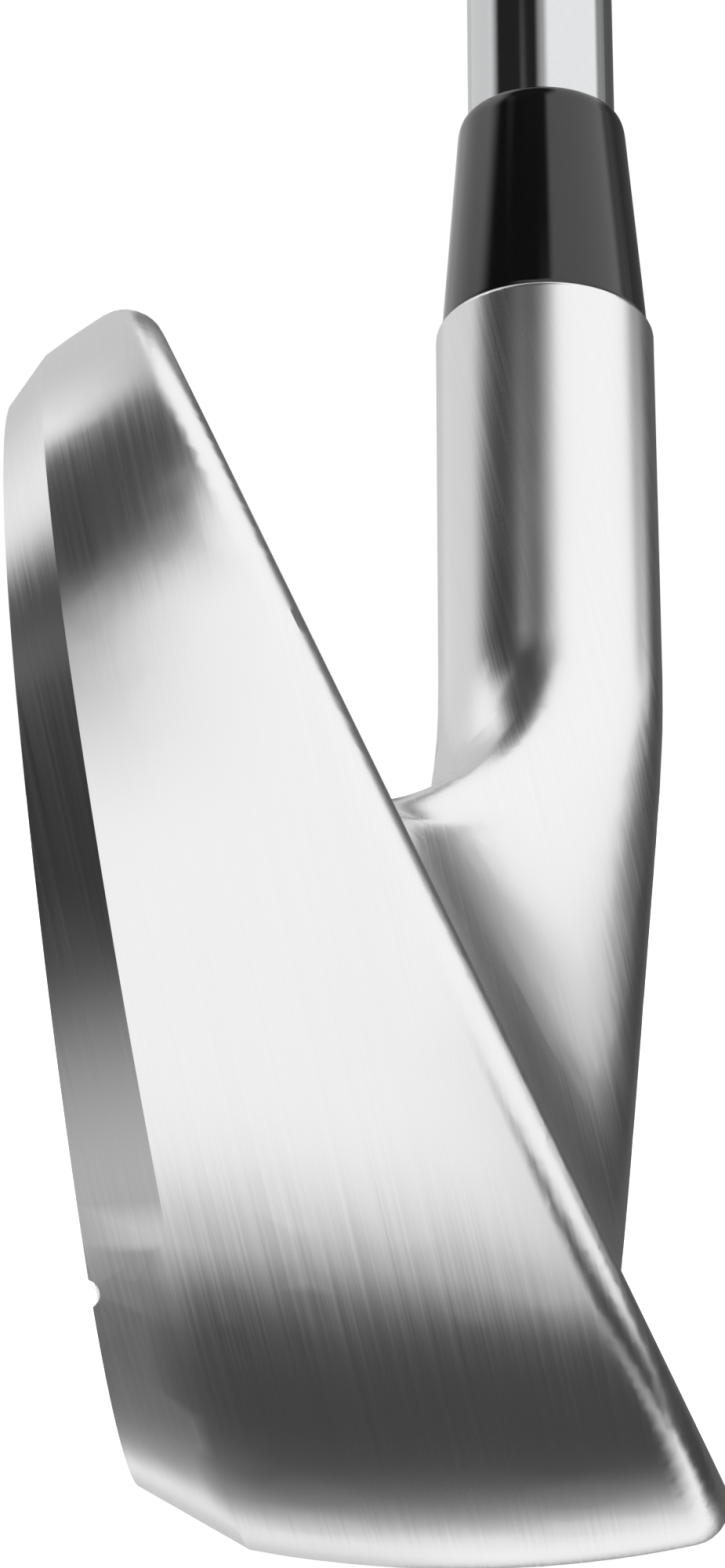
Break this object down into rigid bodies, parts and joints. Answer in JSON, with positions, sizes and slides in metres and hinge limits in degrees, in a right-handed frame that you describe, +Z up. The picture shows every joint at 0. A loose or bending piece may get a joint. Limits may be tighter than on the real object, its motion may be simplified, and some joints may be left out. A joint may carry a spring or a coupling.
{
  "type": "iron golf club",
  "caption": "Right-handed iron golf club with a hollow steel head, plastic ferrule, stepped steel shaft and rubber grip.",
  "frame": {"origin": "the point of the ground that the sole rests on, under the middle of the face", "axes": "club at address: +Z up, the face looks towards -Y, the toe points towards -X, and the shaft leans up towards +X"},
  "size_m": [0.5231, 0.0432, 0.855],
  "materials": {
    "head_body": "brushed and satin polished cast steel",
    "face_plate": "fine milled steel with score lines",
    "sole_weight": "sintered tungsten, dull grey",
    "vibration_damper": "soft moulded elastomer",
    "badge_tape": "white acrylic foam tape",
    "back_badge": "moulded black badge",
    "badge_inlay": "brushed anodised aluminium",
    "ferrule": "turned and polished black plastic",
    "shaft": "chrome-plated steel",
    "hosel_adhesive": "cured epoxy",
    "tip_weight": "turned brass",
    "grip_tape": "double-sided masking tape",
    "grip": "moulded rubber with a fine grip texture",
    "grip_cap": "moulded rubber"
  },
  "bodies": {
    "root": {"head_body": "head_body", "face_plate": "face_plate", "sole_weight": "sole_weight", "vibration_damper": "vibration_damper", "badge_tape": "badge_tape", "back_badge": "back_badge", "badge_inlay": "badge_inlay", "ferrule": "ferrule", "shaft": "shaft", "hosel_adhesive": "hosel_adhesive", "tip_weight": "tip_weight", "grip_tape": "grip_tape", "grip": "grip", "grip_cap": "grip_cap"}
  },
  "joints": []
}
